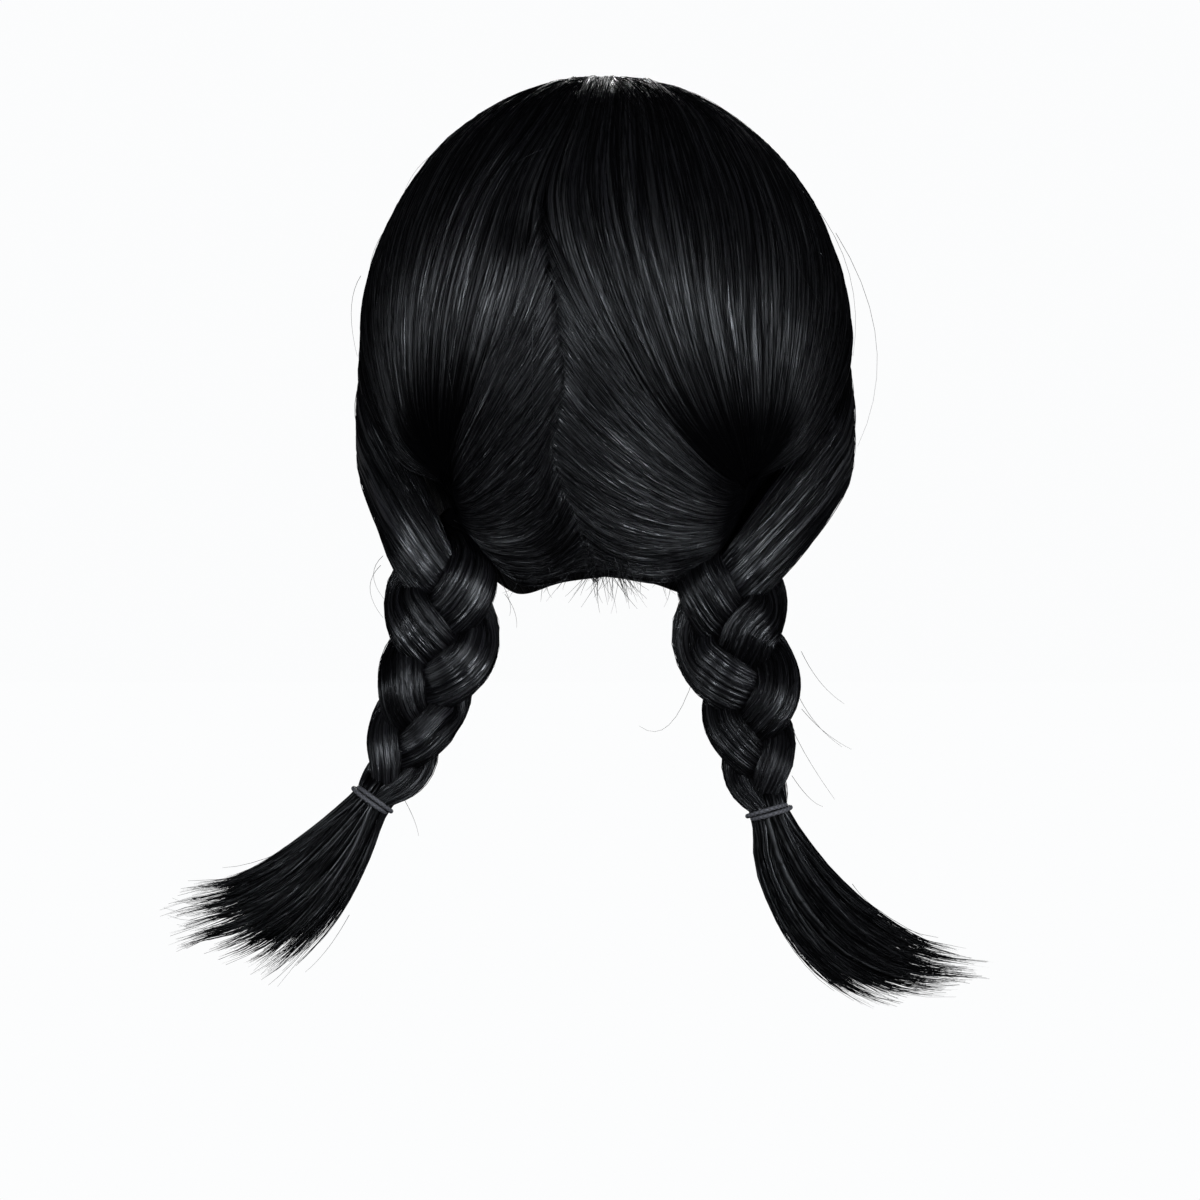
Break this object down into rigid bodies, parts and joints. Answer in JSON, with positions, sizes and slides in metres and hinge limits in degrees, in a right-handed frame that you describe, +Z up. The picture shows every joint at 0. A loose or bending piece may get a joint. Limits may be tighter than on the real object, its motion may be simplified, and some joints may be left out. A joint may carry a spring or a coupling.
{
  "type": "long wig with two plaits",
  "caption": "Rounded wig of straight black hair with a centre part, drawn back into two short plaits, each tied with an elastic above a frayed tail.",
  "frame": {"origin": "top of the hollow, where the wig bears on the crown of a head", "axes": "+Z up, -Y towards the face, +X towards the wearer's left"},
  "size_m": [0.3248, 0.1973, 0.3899],
  "materials": {
    "hair": "straight synthetic fibre with a cool soft sheen",
    "elastic": "cloth covered elastic, matt"
  },
  "bodies": {
    "root": {"crown": "hair", "left_strand_front": "hair", "left_strand_nape": "hair", "left_strand_side": "hair", "left_tie": "elastic", "left_tail": "hair", "right_strand_front": "hair", "right_strand_nape": "hair", "right_strand_side": "hair", "right_tie": "elastic", "right_tail": "hair"}
  },
  "joints": []
}
